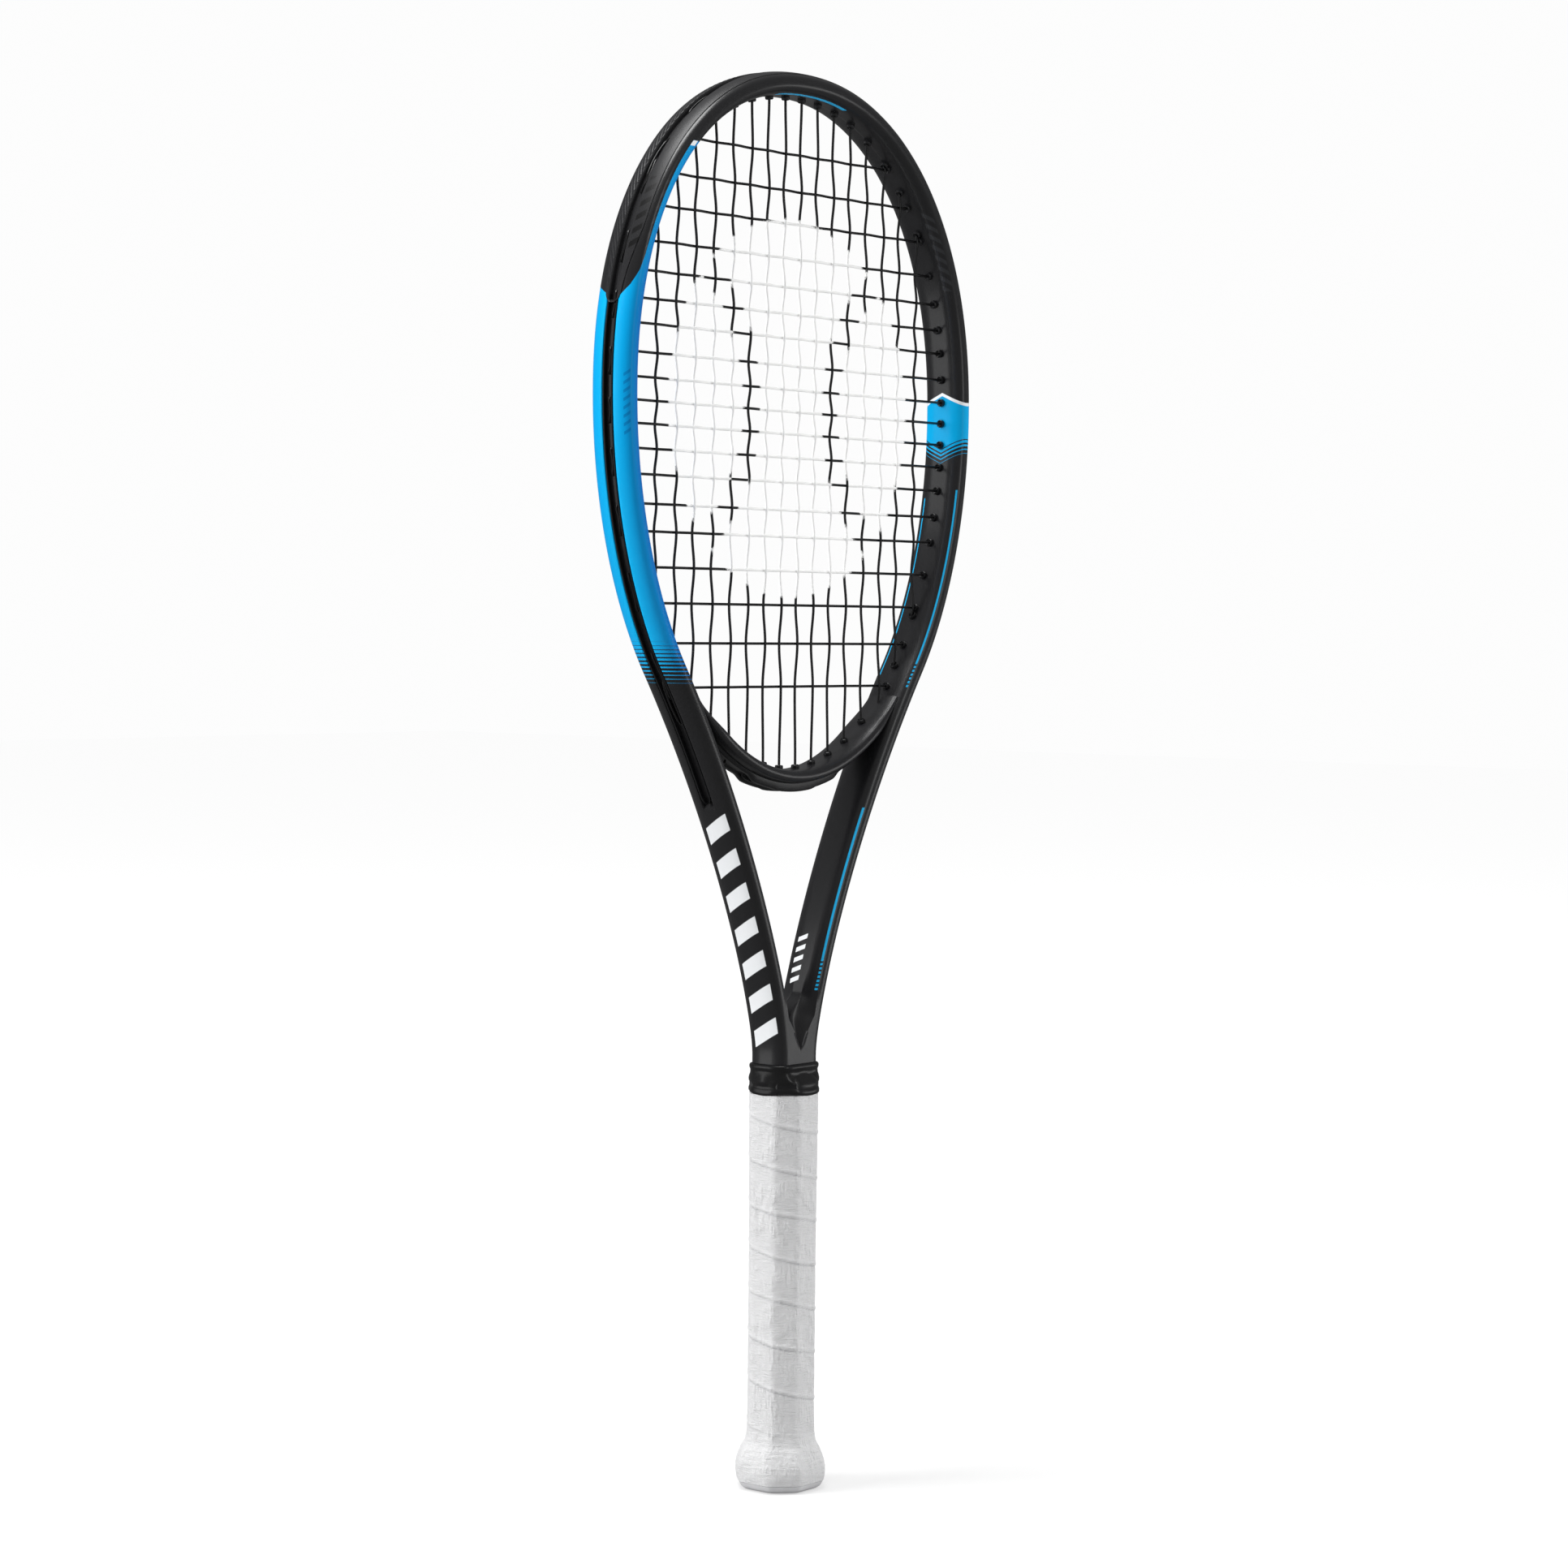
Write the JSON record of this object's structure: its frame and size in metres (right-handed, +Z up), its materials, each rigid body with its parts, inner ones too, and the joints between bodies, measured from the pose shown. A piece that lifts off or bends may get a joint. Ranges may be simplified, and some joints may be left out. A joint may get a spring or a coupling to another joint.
{
  "type": "tennis racket",
  "caption": "Strung graphite tennis racket with an open V throat, woven string bed, grommet strips and a wrapped octagonal handle.",
  "frame": {"origin": "middle of the butt end's flat face", "axes": "+Z up the racket from the butt to the tip of the head, X across the head, -Y the front of the string bed"},
  "size_m": [0.2666, 0.0388, 0.6857],
  "materials": {
    "frame_paint": "satin black lacquer over graphite, with bright blue panels",
    "foam": "fine closed-cell foam",
    "grommet_plastic": "semi-gloss black nylon",
    "string": "smooth black co-polymer with a white stencil",
    "cap_plastic": "light grey moulding",
    "plate_plastic": "plain grey plate",
    "staple_steel": "bright wire",
    "grip": "soft white synthetic wrap with fine creases",
    "tape": "thin vinyl tape",
    "collar_rubber": "glossy black moulded rubber"
  },
  "bodies": {
    "racket": {"hairpin_frame": "frame_paint", "throat_bridge": "frame_paint", "foam_core_left": "foam", "foam_core_right": "foam", "bumper_guard": "grommet_plastic", "grommet_strip_left": "grommet_plastic", "grommet_strip_right": "grommet_plastic", "throat_grommet_strip": "grommet_plastic", "main_strings": "string", "cross_strings": "string", "handle_pallet": "foam", "butt_cap": "cap_plastic", "butt_end_plate": "plate_plastic", "butt_cap_staple_front_left": "staple_steel", "butt_cap_staple_front_right": "staple_steel", "butt_cap_staple_rear_left": "staple_steel", "butt_cap_staple_rear_right": "staple_steel", "grip_tape": "grip", "grip_start_staple": "staple_steel", "finishing_tape": "tape"},
    "collar": {"grip_collar": "collar_rubber"}
  },
  "joints": [
    {"name": "collar_slide", "type": "slide", "parent": "racket", "child": "collar", "axis": [0, 0, 1], "range_m": [0, 0.008]}
  ]
}
